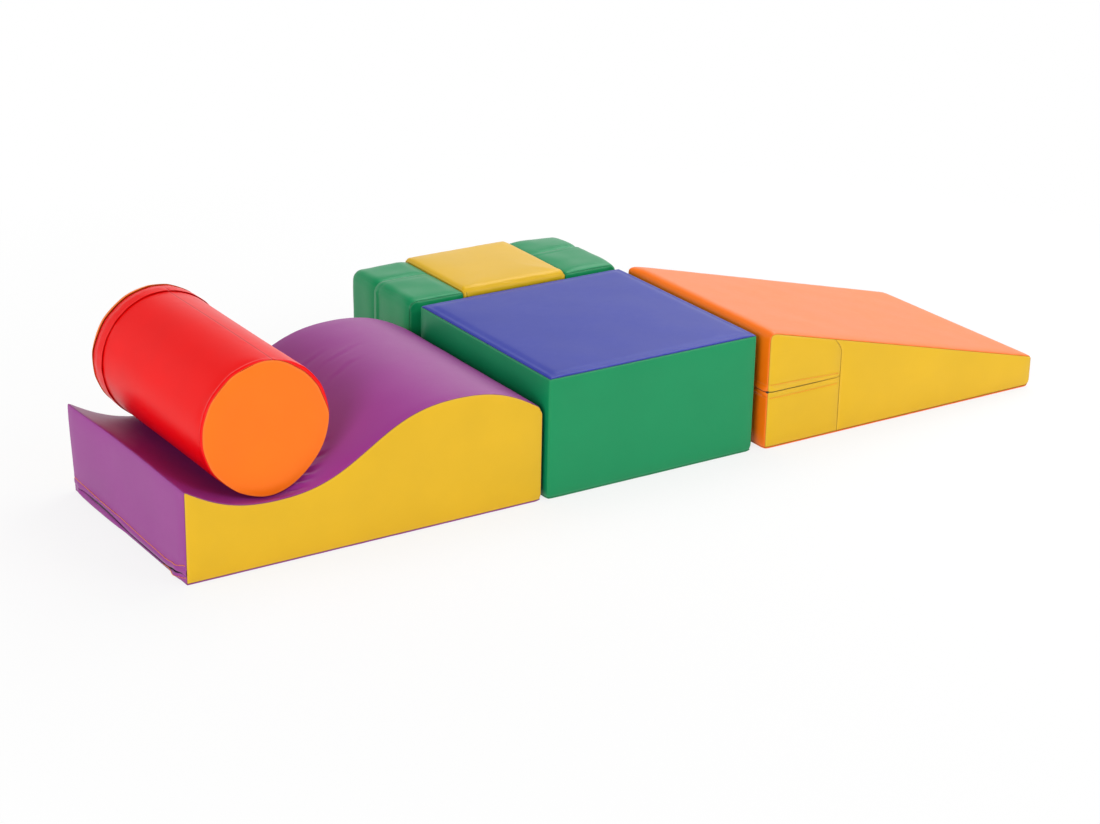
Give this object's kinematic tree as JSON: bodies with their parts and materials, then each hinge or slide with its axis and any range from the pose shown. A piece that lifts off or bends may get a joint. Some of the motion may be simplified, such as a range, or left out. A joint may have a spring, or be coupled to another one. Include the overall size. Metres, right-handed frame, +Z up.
{
  "type": "soft play foam climber",
  "caption": "Soft play climbing set of foam blocks in sewn vinyl covers: a wave with a roll in its valley, a cube, a ramp, and an arch with a nested half-round.",
  "frame": {"origin": "middle of the cube's base, on the floor", "axes": "+X along the row from the wave towards the ramp, +Y from the row towards the arch, +Z up"},
  "size_m": [2.021, 0.7715, 0.3866],
  "materials": {
    "blue_vinyl": "satin coated vinyl",
    "green_vinyl": "satin coated vinyl",
    "purple_vinyl": "satin coated vinyl",
    "yellow_vinyl": "satin coated vinyl",
    "orange_vinyl": "satin coated vinyl",
    "red_vinyl": "satin coated vinyl",
    "foam": "open cell foam, hidden",
    "zip_tape": "woven tape",
    "zip_coil": "nylon coil",
    "zip_metal": "plain metal"
  },
  "bodies": {
    "cube": {"cube_foam": "foam", "cube_base": "green_vinyl", "cube_top": "blue_vinyl", "cube_band": "green_vinyl", "cube_back_upper": "green_vinyl", "cube_back_lower": "green_vinyl", "cube_zip_tape": "zip_tape", "cube_zip_chain": "zip_coil"},
    "cube_slider": {"cube_zip_slider": "zip_metal"},
    "wave": {"wave_foam": "foam", "wave_base": "purple_vinyl", "wave_side_front": "yellow_vinyl", "wave_side_back": "yellow_vinyl", "wave_wrap": "purple_vinyl", "wave_low_end_strip": "purple_vinyl", "wave_zip_tape": "zip_tape", "wave_zip_chain": "zip_coil"},
    "wave_slider": {"wave_zip_slider": "zip_metal"},
    "roll": {"roll_foam": "foam", "roll_wrap": "red_vinyl", "roll_end_band": "red_vinyl", "roll_disc_front": "orange_vinyl", "roll_disc_back": "orange_vinyl", "roll_zip_tape": "zip_tape", "roll_zip_chain": "zip_coil"},
    "roll_slider": {"roll_zip_slider": "zip_metal"},
    "ramp": {"ramp_foam": "foam", "ramp_base": "orange_vinyl", "ramp_wrap": "orange_vinyl", "ramp_tall_end_lower": "orange_vinyl", "ramp_side_front": "yellow_vinyl", "ramp_side_front_upper": "yellow_vinyl", "ramp_side_front_lower": "yellow_vinyl", "ramp_side_back": "yellow_vinyl", "ramp_side_back_upper": "yellow_vinyl", "ramp_side_back_lower": "yellow_vinyl", "ramp_zip_tape": "zip_tape", "ramp_zip_chain": "zip_coil"},
    "ramp_slider": {"ramp_zip_slider": "zip_metal"},
    "arch": {"arch_foam": "foam", "arch_base": "green_vinyl", "arch_face_front": "green_vinyl", "arch_face_back": "green_vinyl", "arch_wrap_front": "green_vinyl", "arch_wrap_back": "green_vinyl", "arch_zip_tape": "zip_tape", "arch_zip_chain": "zip_coil"},
    "arch_slider": {"arch_zip_slider": "zip_metal"},
    "half_round": {"half_round_foam": "foam", "half_round_wrap": "yellow_vinyl", "half_round_top": "yellow_vinyl", "half_round_end_front": "yellow_vinyl", "half_round_end_back_upper": "yellow_vinyl", "half_round_end_back_lower": "yellow_vinyl", "half_round_zip_tape": "zip_tape", "half_round_zip_chain": "zip_coil"},
    "half_round_slider": {"half_round_zip_slider": "zip_metal"}
  },
  "joints": [
    {"name": "wave_shift", "type": "slide", "parent": "cube", "child": "wave", "axis": [-1, 0, 0], "range_m": [0, 0.3]},
    {"name": "ramp_shift", "type": "slide", "parent": "cube", "child": "ramp", "axis": [1, 0, 0], "range_m": [0, 0.3]},
    {"name": "arch_shift", "type": "slide", "parent": "cube", "child": "arch", "axis": [0, 1, 0], "range_m": [0, 0.3]},
    {"name": "half_round_lift", "type": "slide", "parent": "arch", "child": "half_round", "axis": [0, 0, 1], "range_m": [0, 0.3]},
    {"name": "roll_turn", "type": "hinge", "parent": "wave", "child": "roll", "pos_m": [-0.8308, 0, 0.2573], "axis": [0, 1, 0], "continuous": true},
    {"name": "cube_zip", "type": "slide", "parent": "cube", "child": "cube_slider", "axis": [-1, 0, 0], "range_m": [0, 0.42]},
    {"name": "wave_zip", "type": "slide", "parent": "wave", "child": "wave_slider", "axis": [0, -1, 0], "range_m": [0, 0.43]},
    {"name": "roll_zip", "type": "hinge", "parent": "roll", "child": "roll_slider", "pos_m": [-0.8308, 0, 0.2573], "axis": [0, 1, 0], "range_deg": [0, 300]},
    {"name": "ramp_zip", "type": "slide", "parent": "ramp", "child": "ramp_slider", "axis": [0, -1, 0], "range_m": [0, 0.44]},
    {"name": "arch_zip", "type": "slide", "parent": "arch", "child": "arch_slider", "axis": [0, 0, -1], "range_m": [0, 0.18]},
    {"name": "half_round_zip", "type": "slide", "parent": "half_round", "child": "half_round_slider", "axis": [-1, 0, 0], "range_m": [0, 0.155]}
  ]
}
